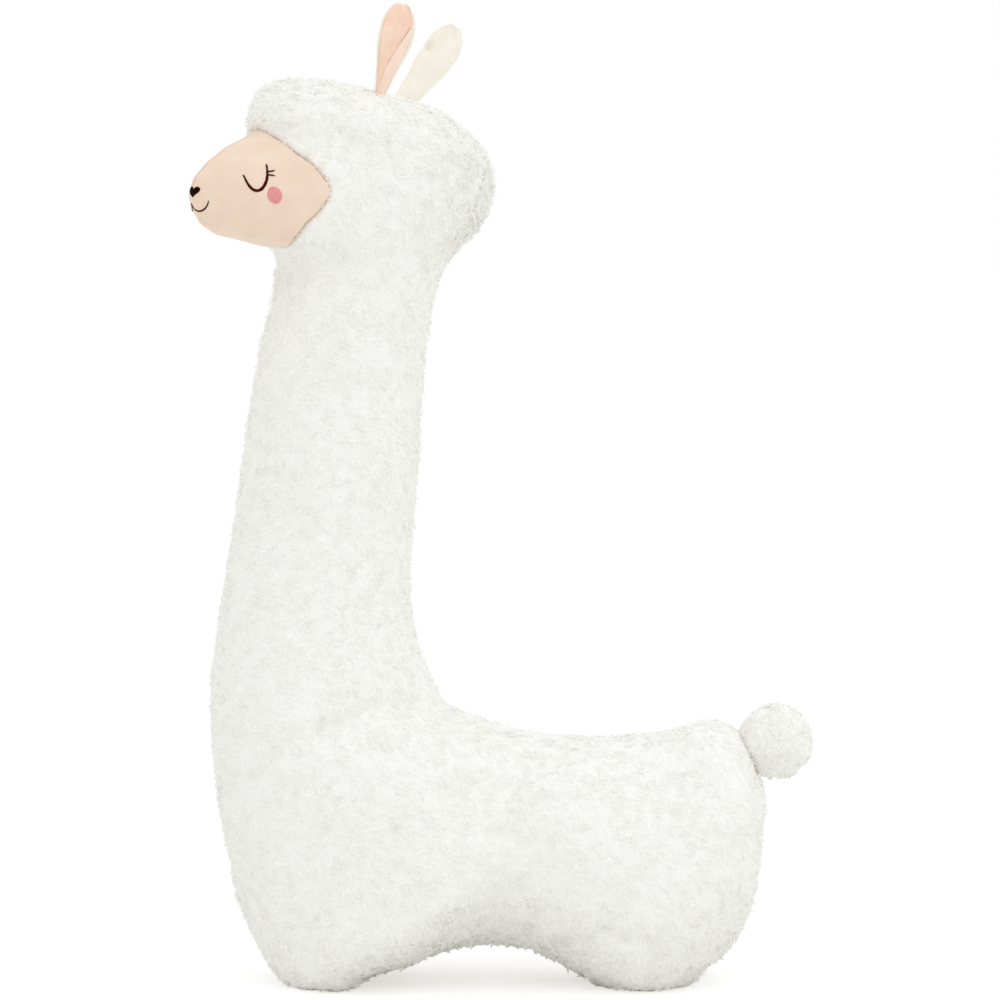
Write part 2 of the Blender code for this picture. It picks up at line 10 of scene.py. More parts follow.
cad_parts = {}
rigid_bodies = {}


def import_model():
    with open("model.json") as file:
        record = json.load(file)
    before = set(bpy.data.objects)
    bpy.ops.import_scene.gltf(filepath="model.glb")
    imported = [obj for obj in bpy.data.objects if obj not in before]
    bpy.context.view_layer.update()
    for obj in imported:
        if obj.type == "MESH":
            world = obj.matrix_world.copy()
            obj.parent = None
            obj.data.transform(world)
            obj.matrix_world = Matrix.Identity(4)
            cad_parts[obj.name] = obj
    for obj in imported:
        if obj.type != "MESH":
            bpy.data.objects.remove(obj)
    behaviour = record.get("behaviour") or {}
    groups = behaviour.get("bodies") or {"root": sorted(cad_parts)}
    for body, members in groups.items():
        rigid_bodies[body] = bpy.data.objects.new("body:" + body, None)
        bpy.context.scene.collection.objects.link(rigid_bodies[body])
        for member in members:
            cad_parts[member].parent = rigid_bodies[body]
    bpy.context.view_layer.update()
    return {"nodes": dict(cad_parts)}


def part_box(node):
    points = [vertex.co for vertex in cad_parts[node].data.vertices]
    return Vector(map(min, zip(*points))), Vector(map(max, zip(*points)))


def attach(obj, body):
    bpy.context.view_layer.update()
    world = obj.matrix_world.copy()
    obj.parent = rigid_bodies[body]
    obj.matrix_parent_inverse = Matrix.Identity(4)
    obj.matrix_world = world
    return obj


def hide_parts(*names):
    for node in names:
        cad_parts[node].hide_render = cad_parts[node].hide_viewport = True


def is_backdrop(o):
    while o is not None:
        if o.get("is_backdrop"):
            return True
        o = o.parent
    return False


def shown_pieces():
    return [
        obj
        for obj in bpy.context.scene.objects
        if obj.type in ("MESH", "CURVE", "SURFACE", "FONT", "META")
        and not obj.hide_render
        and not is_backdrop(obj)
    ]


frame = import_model()
scene = bpy.context.scene


def hexColour(text):
    # sRGB hex to the linear values that Blender's sockets take
    parts = [int(text[i:i + 2], 16) / 255 for i in (1, 3, 5)]
    return tuple(c / 12.92 if c <= 0.04045 else ((c + 0.055) / 1.055) ** 2.4 for c in parts) + (1.0,)


def addNode(tree, kind, settings=None, links=None):
    # one node, its settings, then its inputs: a socket is linked and anything else is a value
    node = tree.nodes.new(kind)
    for name, value in (settings or {}).items():
        setattr(node, name, value)
    for key, value in (links or {}).items():
        if isinstance(value, bpy.types.NodeSocket):
            tree.links.new(value, node.inputs[key])
        else:
            node.inputs[key].default_value = value
    return node


def newMaterial(name):
    material = bpy.data.materials.new(name)
    material.use_nodes = True
    tree = material.node_tree
    surface = tree.nodes["Principled BSDF"]
    place = addNode(tree, "ShaderNodeTexCoord")
    return material, tree, surface, place.outputs["Object"]


def ramp(tree, factor, stops):
    node = addNode(tree, "ShaderNodeValToRGB", links={"Fac": factor})
    while len(node.color_ramp.elements) < len(stops):
        node.color_ramp.elements.new(0.5)
    for element, (at, colour) in zip(node.color_ramp.elements, stops):
        element.position = at
        element.color = hexColour(colour)
    return node.outputs["Color"]


# Materials
print("materials")

fleeceLook = {
    "light": "#FDFDFC", "shade": "#FCFCFA", "ground": "#F6F6F3", "groundShade": "#F4F5F1",
    # seam: the tan of the painted shade along the seam to the face
    "seam": "#EAD3BE",
    "patchSize": 0.045, "curlSize": 0.0042,
    "roughness": 0.95, "sheen": 0.15, "sheenRoughness": 0.5, "specular": 0.2,
    "bump": 0.55, "bumpDepth": 0.0012, "through": 0.58,
}
velourLook = {
    # seam: the colour of the seam lines, also used for painted shade at the face's rim and in its puckers
    "light": "#EFDBC9", "shade": "#EAD1BC", "seam": "#BD9174",
    "patchSize": 0.022, "grain": 0.0011, "grainDepth": 0.00022,
    "roughness": 0.9, "sheen": 0.25, "sheenRoughness": 0.4, "specular": 0.2, "bump": 0.5,
}
threadLook = {"twist": 0.0016, "roughness": 0.65, "specular": 0.05}  # uneven every 1.6 mm of twist


def sherpaFleece(name="sherpaFleece", bump=True):
    # polyester sherpa: a knitted ground brushed into short curls, so white, matte and cloudy
    look = fleeceLook
    material, tree, surface, place = newMaterial(name)
    cloud = addNode(tree, "ShaderNodeTexNoise", links={
        "Vector": place, "Scale": 1 / look["patchSize"], "Detail": 3.0, "Roughness": 0.6})
    shade, light = (look["groundShade"], look["ground"]) if bump else (look["shade"], look["light"])
    colour = ramp(tree, cloud.outputs["Fac"], [(0.32, shade), (0.62, light)])
    if bump:
        # painted shade: the ground is tinted tan along the seam to the face, where shade falls
        mark = addNode(tree, "ShaderNodeAttribute", {"attribute_name": "seamShadeTint"})
        colour = addNode(tree, "ShaderNodeMix", {"data_type": "RGBA"}, {
            0: mark.outputs["Fac"], 6: colour, 7: hexColour(look["seam"])}).outputs[2]
    tree.links.new(colour, surface.inputs["Base Color"])
    surface.inputs["Roughness"].default_value = look["roughness"]
    surface.inputs["Sheen Weight"].default_value = look["sheen"]
    surface.inputs["Sheen Roughness"].default_value = look["sheenRoughness"]
    surface.inputs["Specular IOR Level"].default_value = look["specular"]
    if bump:
        warp = addNode(tree, "ShaderNodeTexNoise", {"noise_dimensions": "3D"}, {
            "Vector": place, "Scale": 1 / look["curlSize"] / 2, "Detail": 2.0, "Distortion": 0.6})
        curls = addNode(tree, "ShaderNodeTexNoise", links={
            "Vector": place, "Scale": 1 / look["curlSize"], "Detail": 4.0, "Roughness": 0.62,
            "Distortion": 1.4})
        both = addNode(tree, "ShaderNodeMath", {"operation": "MULTIPLY_ADD"}, {
            0: warp.outputs["Fac"], 1: 0.8, 2: curls.outputs["Fac"]})
        relief = addNode(tree, "ShaderNodeBump", links={
            "Strength": look["bump"], "Distance": look["bumpDepth"], "Height": both.outputs[0]})
        tree.links.new(relief.outputs["Normal"], surface.inputs["Normal"])
    else:
        # thin curls let light through, so part of it comes from behind them
        glow = addNode(tree, "ShaderNodeBsdfTranslucent", links={"Color": hexColour(look["light"])})
        both = addNode(tree, "ShaderNodeMixShader", links={
            0: look["through"], 1: surface.outputs[0], 2: glow.outputs[0]})
        tree.links.new(both.outputs[0], tree.nodes["Material Output"].inputs["Surface"])
    return material


def brushedVelour(name, light, shade, seams=False, pale=None):
    # warp-knit velour: a very short cut pile, so matte with a faint bloom at grazing angles
    look = velourLook
    material, tree, surface, place = newMaterial(name)
    cloud = addNode(tree, "ShaderNodeTexNoise", links={
        "Vector": place, "Scale": 1 / look["patchSize"], "Detail": 5.0, "Roughness": 0.62})
    colour = ramp(tree, cloud.outputs["Fac"], [(0.30, shade), (0.68, light)])
    if pale:
        mark = addNode(tree, "ShaderNodeAttribute", {"attribute_name": "palerSide"})
        colour = addNode(tree, "ShaderNodeMix", {"data_type": "RGBA"}, {
            0: mark.outputs["Fac"], 6: colour, 7: hexColour(pale)}).outputs[2]
    # seamShade darkens towards the seam colour: seam and pressed lines, and painted shade at the face's
    # rim and in its puckers
    if seams:
        mark = addNode(tree, "ShaderNodeAttribute", {"attribute_name": "seamShade"})
        colour = addNode(tree, "ShaderNodeMix", {"data_type": "RGBA"}, {
            0: mark.outputs["Fac"], 6: colour, 7: hexColour(look["seam"])}).outputs[2]
    tree.links.new(colour, surface.inputs["Base Color"])
    pile = addNode(tree, "ShaderNodeTexNoise", links={
        "Vector": place, "Scale": 1 / look["grain"], "Detail": 2.0, "Roughness": 0.7})
    relief = addNode(tree, "ShaderNodeBump", links={
        "Strength": look["bump"], "Distance": look["grainDepth"], "Height": pile.outputs["Fac"]})
    tree.links.new(relief.outputs["Normal"], surface.inputs["Normal"])
    surface.inputs["Roughness"].default_value = look["roughness"]
    surface.inputs["Sheen Weight"].default_value = look["sheen"]
    surface.inputs["Sheen Roughness"].default_value = look["sheenRoughness"]
    surface.inputs["Specular IOR Level"].default_value = look["specular"]
    return material


def embroideryThread(name, light, dark):
    # cotton embroidery thread: twisted filaments, nearly matte, slightly uneven in colour
    material, tree, surface, place = newMaterial(name)
    tone = addNode(tree, "ShaderNodeTexNoise", links={
        "Vector": place, "Scale": 1 / threadLook["twist"], "Detail": 1.0})
    tree.links.new(ramp(tree, tone.outputs["Fac"], [(0.35, dark), (0.65, light)]),
                   surface.inputs["Base Color"])
    surface.inputs["Roughness"].default_value = threadLook["roughness"]
    surface.inputs["Specular IOR Level"].default_value = threadLook["specular"]
    return material


whiteFleece = sherpaFleece()
whiteCurls = sherpaFleece("sherpaCurls", bump=False)
peachVelour = brushedVelour("peachVelour", velourLook["light"], velourLook["shade"], seams=True)
creamVelour = brushedVelour("creamVelour", "#F8F3E9", "#F0E9DA")
liningVelour = brushedVelour("earLiningVelour", "#F8DDCA", "#F2CFB9", seams=True, pale="#FAE3D4")
brownThread = embroideryThread("maroonBrownThread", "#5C190E", "#3C0E07")
darkThread = embroideryThread("darkBrownThread", "#290A06", "#190503")
pinkThread = embroideryThread("pinkThread", "#F0ACAA", "#E59C9A")

# Helpers for meshes


def mergedCopy(*nodes):
    # a CAD node's mesh is loose triangles, so the copy's corners are merged first
    form = bmesh.new()
    for node in nodes:
        form.from_mesh(frame["nodes"][node].data)
    bmesh.ops.remove_doubles(form, verts=form.verts, dist=1e-6)
    mesh = bpy.data.meshes.new("copy")
    form.to_mesh(mesh)
    form.free()
    mesh.materials.clear()
    return mesh


def newPiece(name, mesh, material=None):
    piece = bpy.data.objects.new(name, mesh)
    scene.collection.objects.link(piece)
    if material is not None:
        mesh.materials.clear()
        mesh.materials.append(material)
    return piece


def settled(piece):
    # the piece as its modifiers show it, kept as a plain mesh
    shown = piece.evaluated_get(bpy.context.evaluated_depsgraph_get())
    mesh = bpy.data.meshes.new_from_object(shown)
    old = piece.data
    piece.modifiers.clear()
    piece.data = mesh
    if old.users == 0:
        bpy.data.meshes.remove(old)
    return piece


def readPoints(mesh):
    values = np.empty(len(mesh.vertices) * 3)
    mesh.vertices.foreach_get("co", values)
    return values.reshape(-1, 3)


def readNormals(mesh):
    values = np.empty(len(mesh.vertices) * 3)
    mesh.vertex_normals.foreach_get("vector", values)
    return values.reshape(-1, 3)


def writePoints(mesh, points):
    mesh.vertices.foreach_set("co", np.asarray(points, float).ravel())
    mesh.update()


def writeAttribute(mesh, name, values):
    layer = mesh.attributes.get(name) or mesh.attributes.new(name, "FLOAT", "POINT")
    layer.data.foreach_set("value", np.asarray(values, np.float32))


def surfaceTree(piece):
    mesh = piece.data
    return BVHTree.FromPolygons([v.co for v in mesh.vertices], [tuple(p.vertices) for p in mesh.polygons])


def finishPiece(piece, nodes=()):
    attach(piece, "root")
    if nodes:
        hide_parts(*nodes)
    return piece


def remeshed(piece, voxel, rounds):
    # one even skin over the form, eased so that no facet of it shows
    skin = piece.modifiers.new("skin", "REMESH")
    skin.mode = "VOXEL"
    skin.voxel_size = voxel
    skin.use_smooth_shade = True
    ease = piece.modifiers.new("ease", "SMOOTH")
    ease.factor = 0.5
    ease.iterations = rounds
    return settled(piece)


def subdivided(piece):
    finer = piece.modifiers.new("finer", "SUBSURF")
    finer.levels = 1
    finer.render_levels = 1
    return settled(piece)


def stuffed(piece, settings, sewn):
    # cloth blown up from inside by its stuffing, held where it is sewn, no point past the cap
    before = readPoints(piece.data)
    held = piece.vertex_groups.new(name="sewn")
    held.add([int(i) for i in np.flatnonzero(sewn)], 1.0, "REPLACE")
    cloth = piece.modifiers.new("stuffing", "CLOTH")
    fabric = cloth.settings
    fabric.quality = settings["steps"]
    fabric.mass = settings["mass"]
    fabric.tension_stiffness = fabric.compression_stiffness = settings["stretch"]
    fabric.shear_stiffness = settings["shear"]
    fabric.bending_stiffness = settings["bend"]
    fabric.use_pressure = True
    fabric.uniform_pressure_force = settings["pressure"]
    fabric.effector_weights.gravity = 0.0
    fabric.vertex_group_mass = held.name
    cloth.collision_settings.use_collision = False
    cloth.point_cache.frame_start = 1
    cloth.point_cache.frame_end = settings["frames"]
    for frameNumber in range(1, settings["frames"] + 1):
        scene.frame_set(frameNumber)
    settled(piece)
    scene.frame_set(1)
    moved = readPoints(piece.data) - before
    length = np.linalg.norm(moved, axis=1)
    print("stuffing moved its points", round(length.mean() * 1000, 1), "mm on average")
    moved *= np.minimum(1.0, settings["cap"] / np.maximum(length, 1e-9))[:, None]
    writePoints(piece.data, before + moved)
    piece.vertex_groups.clear()
    return piece


def smoothShaded(piece):
    piece.data.shade_smooth()
    return piece


# Geometry Nodes: relief and curls of the fleece


def newTree(name, inputs):
    tree = bpy.data.node_groups.new(name, "GeometryNodeTree")
    tree.interface.new_socket("Geometry", in_out="OUTPUT", socket_type="NodeSocketGeometry")
    tree.interface.new_socket("Geometry", in_out="INPUT", socket_type="NodeSocketGeometry")
    for label, kind in inputs.items():
        tree.interface.new_socket(label, in_out="INPUT", socket_type=kind)
    start = addNode(tree, "NodeGroupInput")
    end = addNode(tree, "NodeGroupOutput")
    return tree, start.outputs, end.inputs


def applyTree(piece, tree, values):
    modifier = piece.modifiers.new(tree.name, "NODES")
    modifier.node_group = tree
    for item in tree.interface.items_tree:
        if item.in_out == "INPUT" and item.name in values:
            modifier[item.identifier] = values[item.name]
    return modifier


def fleeceReliefTree():
    # pushes the skin in and out: soft hills, and the clumps that the curls gather in
    tree, given, result = newTree("fleeceRelief", {
        "Hill Size": "NodeSocketFloat", "Hill Depth": "NodeSocketFloat",
        "Clump Size": "NodeSocketFloat", "Clump Depth": "NodeSocketFloat", "Seed": "NodeSocketFloat"})
    position = addNode(tree, "GeometryNodeInputPosition").outputs[0]
    normal = addNode(tree, "GeometryNodeInputNormal").outputs[0]
    total = None
    for size, depth, detail, twist in (("Hill Size", "Hill Depth", 2.0, 0.0),
                                       ("Clump Size", "Clump Depth", 2.5, 0.9)):
        scale = addNode(tree, "ShaderNodeMath", {"operation": "DIVIDE"}, {0: 1.0, 1: given[size]})
        noise = addNode(tree, "ShaderNodeTexNoise", {"noise_dimensions": "4D"}, {
            "Vector": position, "W": given["Seed"], "Scale": scale.outputs[0], "Detail": detail,
            "Roughness": 0.55, "Distortion": twist})
        centred = addNode(tree, "ShaderNodeMath", {"operation": "SUBTRACT"}, {
            0: noise.outputs[0], 1: 0.5})
        deep = addNode(tree, "ShaderNodeMath", {"operation": "MULTIPLY"}, {
            0: centred.outputs[0], 1: given[depth]})
        if total is None:
            total = deep.outputs[0]
        else:
            total = addNode(tree, "ShaderNodeMath", {"operation": "ADD"}, {
                0: total, 1: deep.outputs[0]}).outputs[0]
    free = addNode(tree, "GeometryNodeInputNamedAttribute", {"data_type": "FLOAT"}, {"Name": "free"})
    total = addNode(tree, "ShaderNodeMath", {"operation": "MULTIPLY"}, {
        0: total, 1: free.outputs[0]}).outputs[0]
    push = addNode(tree, "ShaderNodeVectorMath", {"operation": "SCALE"}, {0: normal, "Scale": total})
    moved = addNode(tree, "GeometryNodeSetPosition", links={
        "Geometry": given["Geometry"], "Offset": push.outputs[0]})
    tree.links.new(moved.outputs[0], result[0])
    return tree


def curlTree(material):
    # scatters curls over the skin where its "pile" attribute allows, leaning in noisy whorls
    tree, given, result = newTree("fleeceCurls", {
        "Curls": "NodeSocketCollection", "Per Square Metre": "NodeSocketFloat",
        "Size": "NodeSocketFloat", "Whorl Size": "NodeSocketFloat",
        "Droop": "NodeSocketFloat", "Sink": "NodeSocketFloat", "Row Depth": "NodeSocketFloat",
        "Row Stretch": "NodeSocketVector", "Seed": "NodeSocketInt"})
    pile = addNode(tree, "GeometryNodeInputNamedAttribute", {"data_type": "FLOAT"}, {"Name": "pile"})
    long = addNode(tree, "GeometryNodeInputNamedAttribute", {"data_type": "FLOAT"}, {"Name": "long"})
    spread = addNode(tree, "ShaderNodeMath", {"operation": "MULTIPLY"}, {
        0: pile.outputs[0], 1: given["Per Square Metre"]})
    scatter = addNode(tree, "GeometryNodeDistributePointsOnFaces", {"distribute_method": "RANDOM"}, {
        "Mesh": given["Geometry"], "Density": spread.outputs[0], "Seed": given["Seed"]})
    position = addNode(tree, "GeometryNodeInputPosition").outputs[0]
    flat = addNode(tree, "ShaderNodeVectorMath", {"operation": "MULTIPLY"}, {
        0: position, 1: given["Row Stretch"]})
    rows = addNode(tree, "ShaderNodeTexNoise", links={
        "Vector": flat.outputs[0], "Scale": 1.0, "Detail": 1.5, "Distortion": 0.7})
    rowHeight = addNode(tree, "ShaderNodeMath", {"operation": "SUBTRACT"}, {0: rows.outputs[0], 1: 0.5})
    rowHeight = addNode(tree, "ShaderNodeMath", {"operation": "MULTIPLY_ADD"}, {
        0: rowHeight.outputs[0], 1: given["Row Depth"], 2: given["Sink"]})
    scale = addNode(tree, "ShaderNodeMath", {"operation": "DIVIDE"}, {0: 1.0, 1: given["Whorl Size"]})
    whorl = addNode(tree, "ShaderNodeTexNoise", links={
        "Vector": position, "Scale": scale.outputs[0], "Detail": 1.0})
    swing = addNode(tree, "ShaderNodeVectorMath", {"operation": "SUBTRACT"}, {
        0: whorl.outputs["Color"], 1: (0.5, 0.5, 0.5)})
    swing = addNode(tree, "ShaderNodeVectorMath", {"operation": "NORMALIZE"}, {0: swing.outputs[0]})
    down = addNode(tree, "ShaderNodeCombineXYZ", links={"Z": given["Droop"]})
    swing = addNode(tree, "ShaderNodeVectorMath", {"operation": "SUBTRACT"}, {
        0: swing.outputs[0], 1: down.outputs[0]})
    normal = scatter.outputs["Normal"]
    turn = addNode(tree, "FunctionNodeAlignRotationToVector", {"axis": "Z"}, {"Vector": normal})
    face = addNode(tree, "FunctionNodeAlignRotationToVector", {"axis": "X", "pivot_axis": "Z"}, {
        "Rotation": turn.outputs[0], "Vector": swing.outputs[0]})
    wobble = addNode(tree, "FunctionNodeRandomValue", {"data_type": "FLOAT_VECTOR"}, {
        0: (-0.18, -0.15, -1.2), 1: (0.18, 0.20, 1.2), "Seed": given["Seed"]})
    wobble = addNode(tree, "FunctionNodeEulerToRotation", links={0: wobble.outputs[0]})
    turned = addNode(tree, "FunctionNodeRotateRotation", {"rotation_space": "LOCAL"}, {
        0: face.outputs[0], 1: wobble.outputs[0]})
    size = addNode(tree, "FunctionNodeRandomValue", {"data_type": "FLOAT"}, {
        2: 0.7, 3: 1.3, "Seed": given["Seed"]})
    size = addNode(tree, "ShaderNodeMath", {"operation": "MULTIPLY"}, {
        0: size.outputs[1], 1: given["Size"]})
    size = addNode(tree, "ShaderNodeMath", {"operation": "MULTIPLY"}, {
        0: size.outputs[0], 1: long.outputs[0]})
    kinds = addNode(tree, "GeometryNodeCollectionInfo", links={
        "Collection": given["Curls"], "Separate Children": True, "Reset Children": True})
    placed = addNode(tree, "GeometryNodeInstanceOnPoints", links={
        "Points": scatter.outputs[0], "Instance": kinds.outputs[0], "Pick Instance": True,
        "Rotation": turned.outputs[0], "Scale": size.outputs[0]})
    sink = addNode(tree, "ShaderNodeVectorMath", {"operation": "SCALE"}, {
        0: normal, "Scale": rowHeight.outputs[0]})
    lowered = addNode(tree, "GeometryNodeTranslateInstances", links={
        "Instances": placed.outputs[0], "Translation": sink.outputs[0], "Local Space": False})
    real = addNode(tree, "GeometryNodeRealizeInstances", links={0: lowered.outputs[0]})
    dressed = addNode(tree, "GeometryNodeSetMaterial", links={
        "Geometry": real.outputs[0], "Material": material})
    tree.links.new(dressed.outputs[0], result[0])
    return tree


def lockKinds(name, kinds):
    # a few locks for the scatter: flat strips that rise from the root, bow sideways and lie down
    shelf = bpy.data.collections.new(name)
    scene.collection.children.link(shelf)
    for number, kind in enumerate(kinds):
        spots, x, z = [], 0.0, 0.0
        for i in range(4):
            share = i / 3
            spots.append(Vector((x, kind["bow"] * share ** 2, z)))
            angle = kind["rise"] + (kind["fall"] - kind["rise"]) * (share + 1 / 6)
            x += kind["length"] / 3 * math.cos(angle)
            z += kind["length"] / 3 * math.sin(angle)
        half = kind["width"] / 2
        slope = 2 * kind["bow"] / kind["length"]
        verts = [spots[0]]
        for share, spot in ((0.4, spots[1]), (0.8, spots[2])):
            verts.append(spot + Vector((half * slope * share, -half, 0)))
            verts.append(spot + Vector((-half * slope * share, half, 0)))
        verts.append(spots[3])
        faces = [(0, 1, 2), (1, 3, 4, 2), (3, 5, 4)]
        mesh = bpy.data.meshes.new(f"{name}{number}")
        mesh.from_pydata(verts, [], faces)
        mesh.shade_smooth()
        shelf.objects.link(bpy.data.objects.new(f"{name}{number}", mesh))
    return shelf


def clearShelf(shelf):
    for item in list(shelf.objects):
        bpy.data.objects.remove(item)
    bpy.data.collections.remove(shelf)


# Body fleece
print("fleece skin of the body")

bodySettings = {
    "voxel": 0.0068, "smoothRounds": 6, "pinnedReach": 0.008, "rimReach": 0.009, "soleReach": 0.006,
    "hillSize": 0.065, "hillDepth": 0.0025, "clumpSize": 0.0105, "clumpDepth": 0.0042,
}
stuffingSettings = {"pressure": 5.0, "frames": 20, "steps": 4, "mass": 0.15, "stretch": 20.0,
                    "shear": 8.0, "bend": 0.2, "cap": 0.005}

curlsShelf = lockKinds("lockKind", [
    {"length": 0.0095, "rise": 0.50, "fall": -0.30, "bow": 0.0018, "width": 0.0024},
    {"length": 0.0085, "rise": 0.55, "fall": -0.20, "bow": -0.0024, "width": 0.0021},
    {"length": 0.0075, "rise": 0.50, "fall": -0.40, "bow": 0.0026, "width": 0.0026},
    {"length": 0.0080, "rise": 0.70, "fall": 0.10, "bow": -0.0012, "width": 0.0016},
])
reliefTree = fleeceReliefTree()
curlsTree = curlTree(whiteCurls)

headCentre = Vector((-0.150, 0, 0.790))
headTurn = math.radians(28)
headFrame = Matrix.Translation(headCentre) @ Matrix.Rotation(headTurn, 4, "Z")

bodySkin = newPiece("bodyFleece", mergedCopy("body"), whiteFleece)
remeshed(bodySkin, bodySettings["voxel"], bodySettings["smoothRounds"])
faceForm = newPiece("faceForm", mergedCopy("face"))
faceTree = surfaceTree(faceForm)


def nearFace(points, reach):
    # 1 at the velour face and 0 further away than reach
    found = np.zeros(len(points))
    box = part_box("face")
    low, high = np.array(box[0]) - reach, np.array(box[1]) + reach
    inside = np.flatnonzero(((points > low) & (points < high)).all(1))
    for i in inside:
        hit = faceTree.find_nearest(Vector(points[i]), reach)
        if hit[0] is not None:
            found[i] = 1 - hit[3] / reach
    return found


# Soft creases of the stuffing, seen from the side: where each runs, how deep and how wide it is
creases = [
    {"path": [(-0.178, 0.262), (-0.130, 0.283), (-0.083, 0.285)], "depth": 0.0078, "width": 0.010},
    {"path": [(0.010, 0.205), (-0.012, 0.135), (-0.002, 0.080)], "depth": 0.0050, "width": 0.016},
    {"path": [(0.046, 0.170), (0.056, 0.125)], "depth": 0.0020, "width": 0.012},
    {"path": [(0.060, 0.050), (0.105, 0.062), (0.150, 0.052)], "depth": 0.0025, "width": 0.010},
    {"path": [(-0.150, 0.075), (-0.095, 0.090), (-0.050, 0.120)], "depth": 0.0020, "width": 0.014},
    {"path": [(-0.205, 0.470), (-0.150, 0.452), (-0.110, 0.456)], "depth": 0.0016, "width": 0.012},
    {"path": [(-0.190, 0.585), (-0.140, 0.600), (-0.090, 0.592)], "depth": 0.0016, "width": 0.014},
]

# Where the stuffing stands out more, or less, than the plain form: place seen from the side,
# how far it reaches and how high it is
bodyPlumps = [
    {"place": (-0.232, 0.900), "reach": 0.020, "height": 0.0030},
    {"place": (-0.175, 0.900), "reach": 0.035, "height": -0.0025},
    {"place": (-0.060, 0.872), "reach": 0.035, "height": 0.0020},
    {"place": (-0.012, 0.825), "reach": 0.030, "height": 0.0015},
    {"place": (-0.085, 0.485), "reach": 0.060, "height": 0.0030},
    {"place": (-0.050, 0.286), "reach": 0.022, "height": -0.0070},
    {"place": (0.065, 0.254), "reach": 0.050, "height": 0.0022},
    {"place": (0.220, 0.264), "reach": 0.030, "height": 0.0060},
    {"place": (0.265, 0.185), "reach": 0.026, "height": 0.0045},
    {"place": (0.252, 0.085), "reach": 0.035, "height": 0.0035},
    {"place": (-0.125, 0.006), "reach": 0.024, "height": -0.0080},
    {"place": (-0.234, 0.734), "reach": 0.015, "height": -0.0045},
    {"place": (0.212, 0.008), "reach": 0.024, "height": -0.0048},
]


def plumpHeights(points, plumps):
    # how far each point stands out, on both sides of the toy
    total = np.zeros(len(points))
    for plump in plumps:
        away = np.linalg.norm(points[:, [0, 2]] - np.array(plump["place"]), axis=1)
        total += plump["height"] * np.exp(-(away / plump["reach"]) ** 2)
    return total


def creaseDepths(points, normals):
    # how far each point of the skin is pulled in, on both sides of the toy
    total = np.zeros(len(points))
    flat = points[:, [0, 2]]
    for crease in creases:
        nearest = np.full(len(points), np.inf)
        for start, end in zip(crease["path"], crease["path"][1:]):
            start, run = np.array(start), np.array(end) - np.array(start)
            share = np.clip((flat - start) @ run / (run @ run), 0, 1)
            nearest = np.minimum(nearest, np.linalg.norm(flat - start - share[:, None] * run, axis=1))
        total += crease["depth"] * np.exp(-(nearest / crease["width"]) ** 2)
    return total * np.clip(np.abs(normals[:, 1]) * 1.5, 0, 1)


clothPoints = readPoints(bodySkin.data)
sewn = nearFace(clothPoints, bodySettings["pinnedReach"]) > 0.3
stuffed(bodySkin, stuffingSettings, sewn | (clothPoints[:, 2] < 0.004))
subdivided(bodySkin)
skinPoints = readPoints(bodySkin.data)
skinNormals = readNormals(bodySkin.data)
byFace = nearFace(skinPoints, bodySettings["rimReach"])
onFloor = np.clip(1 - skinPoints[:, 2] / bodySettings["soleReach"], 0, 1)
free = np.clip(1 - 1.2 * byFace, 0, 1) * (1 - onFloor)
writeAttribute(bodySkin.data, "free", free)
pushed = plumpHeights(skinPoints, bodyPlumps) - creaseDepths(skinPoints, skinNormals)
skinPoints += skinNormals * pushed[:, None]
skinPoints[:, 2] = np.maximum(skinPoints[:, 2], 0.0004)
writePoints(bodySkin.data, skinPoints)
applyTree(bodySkin, reliefTree, {
    "Hill Size": bodySettings["hillSize"], "Hill Depth": bodySettings["hillDepth"],
    "Clump Size": bodySettings["clumpSize"], "Clump Depth": bodySettings["clumpDepth"], "Seed": 3.0})
settled(bodySkin)
smoothShaded(bodySkin)
# painted shade along the seam to the face, at most a quarter of the way to the tan
sewnShade = 2.5 * nearFace(readPoints(bodySkin.data), 0.006) - 1.0
writeAttribute(bodySkin.data, "seamShadeTint", np.clip(sewnShade, 0, 0.25))
print("body skin triangles", sum(len(p.vertices) - 2 for p in bodySkin.data.polygons))

# Pile: none under the rim of the face or on the soles, and longer in some places
points = readPoints(bodySkin.data)
hiddenSeat = nearFace(points, 0.0045) > 0.55
sole = points[:, 2] < 0.0015
pileSettings = {
    "perSquareMetre": 196000, "size": 0.9, "whorl": 0.010, "droop": 0.30, "sink": -0.0008,
    "rowDepth": 0.0085, "headRows": (95, 95, 130), "otherRows": (50, 50, 190),
    "backOfHead": 0.35, "crown": 0.15, "nape": 0.35, "underside": 0.35, "underChin": 0.60,
    "headFrom": 0.690, "neckFrom": 0.400, "haunchFrom": -0.050,
}
pile = pileSettings
onHead = points[:, 2] > pile["headFrom"]
aboveTrunk = points[:, 2] > pile["neckFrom"]
inFront = points[:, 0] < pile["haunchFrom"]
regions = {
    "headCurls": onHead, "neckCurls": ~onHead & aboveTrunk,
    "chestCurls": ~aboveTrunk & inFront, "haunchCurls": ~aboveTrunk & ~inFront,
}
backOfHead = np.clip((points[:, 0] + 0.085) / 0.06, 0, 1) * np.clip((points[:, 2] - 0.70) / 0.05, 0, 1)
nape = np.exp(-((points[:, 0] + 0.020) / 0.030) ** 2 - ((points[:, 2] - 0.750) / 0.030) ** 2)
crown = np.clip((points[:, 2] - 0.84) / 0.04, 0, 1)
longer = 1.0 + pile["backOfHead"] * backOfHead + pile["crown"] * crown + pile["nape"] * nape
ragged = np.clip(-readNormals(bodySkin.data)[:, 2] * 1.6 - 0.2, 0, 1)
longer += pile["underside"] * ragged * (points[:, 2] < 0.10)
underChin = np.exp(-((points[:, 0] + 0.232) / 0.022) ** 2 - ((points[:, 2] - 0.732) / 0.016) ** 2)
longer *= 1 - pile["underChin"] * underChin


def keepAboveFloor(piece):
    # locks at the feet's rims are pressed flat where they meet the floor
    tips = readPoints(piece.data)
    tips[:, 2] = np.maximum(tips[:, 2], 0.0002)
    writePoints(piece.data, tips)


